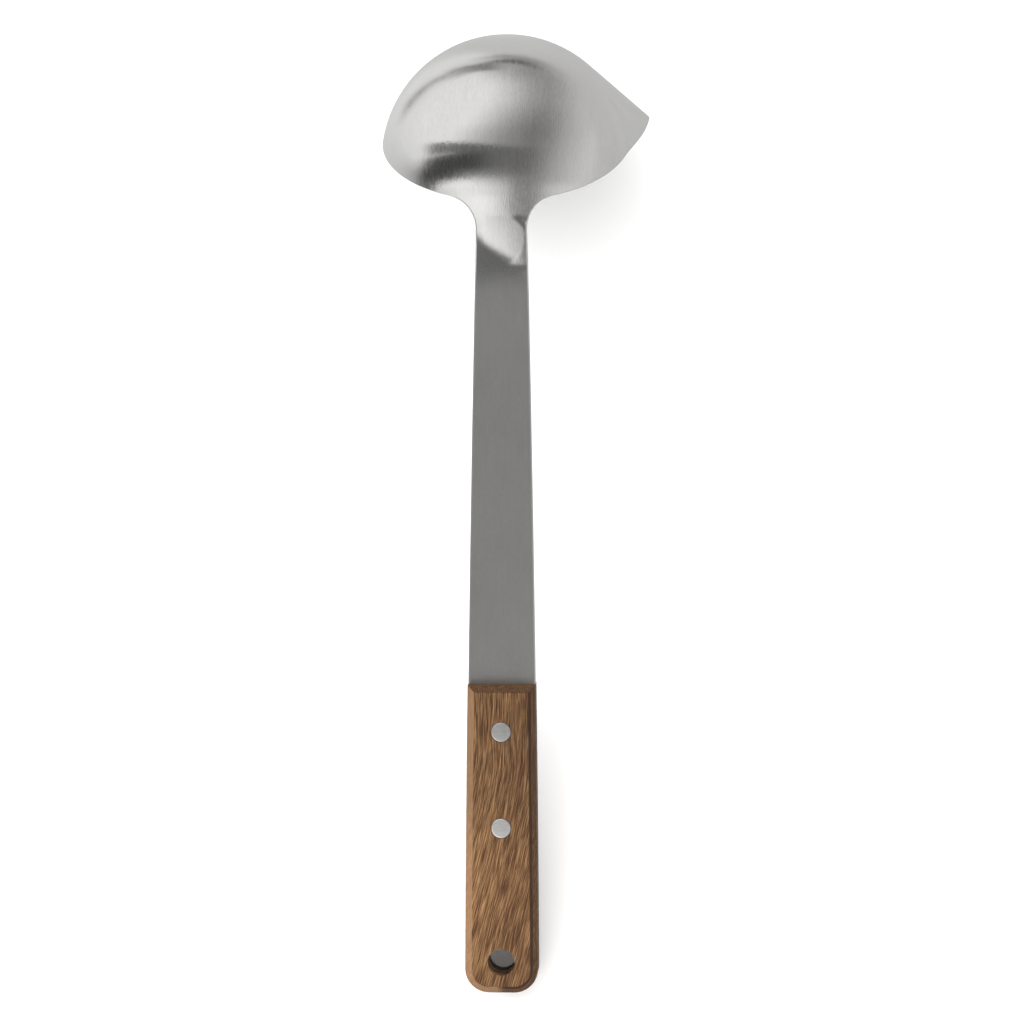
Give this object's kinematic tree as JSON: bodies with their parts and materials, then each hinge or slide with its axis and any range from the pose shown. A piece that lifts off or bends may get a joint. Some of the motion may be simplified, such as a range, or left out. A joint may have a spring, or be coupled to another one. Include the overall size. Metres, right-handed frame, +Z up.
{
  "type": "soup ladle",
  "caption": "Soup ladle lying face down: round steel bowl with a pouring lip, flat tapering handle, and riveted wooden grip with a hanging hole.",
  "frame": {"origin": "middle of the footprint at the surface that the ladle lies on, face down", "axes": "+Y from the end of the grip to the bowl, +Z up, and the pouring lip points to +X"},
  "size_m": [0.0902, 0.3226, 0.0693],
  "materials": {
    "brushed_sheet": "brushed along the handle",
    "grip_wood": "oiled, with open grain",
    "rivet_metal": "satin, ground flush"
  },
  "bodies": {
    "root": {"ladle_blank": "brushed_sheet", "back_scale": "grip_wood", "front_scale": "grip_wood", "neck_end_rivet_pin": "rivet_metal", "neck_end_rivet_socket": "rivet_metal", "butt_end_rivet_pin": "rivet_metal", "butt_end_rivet_socket": "rivet_metal"}
  },
  "joints": []
}
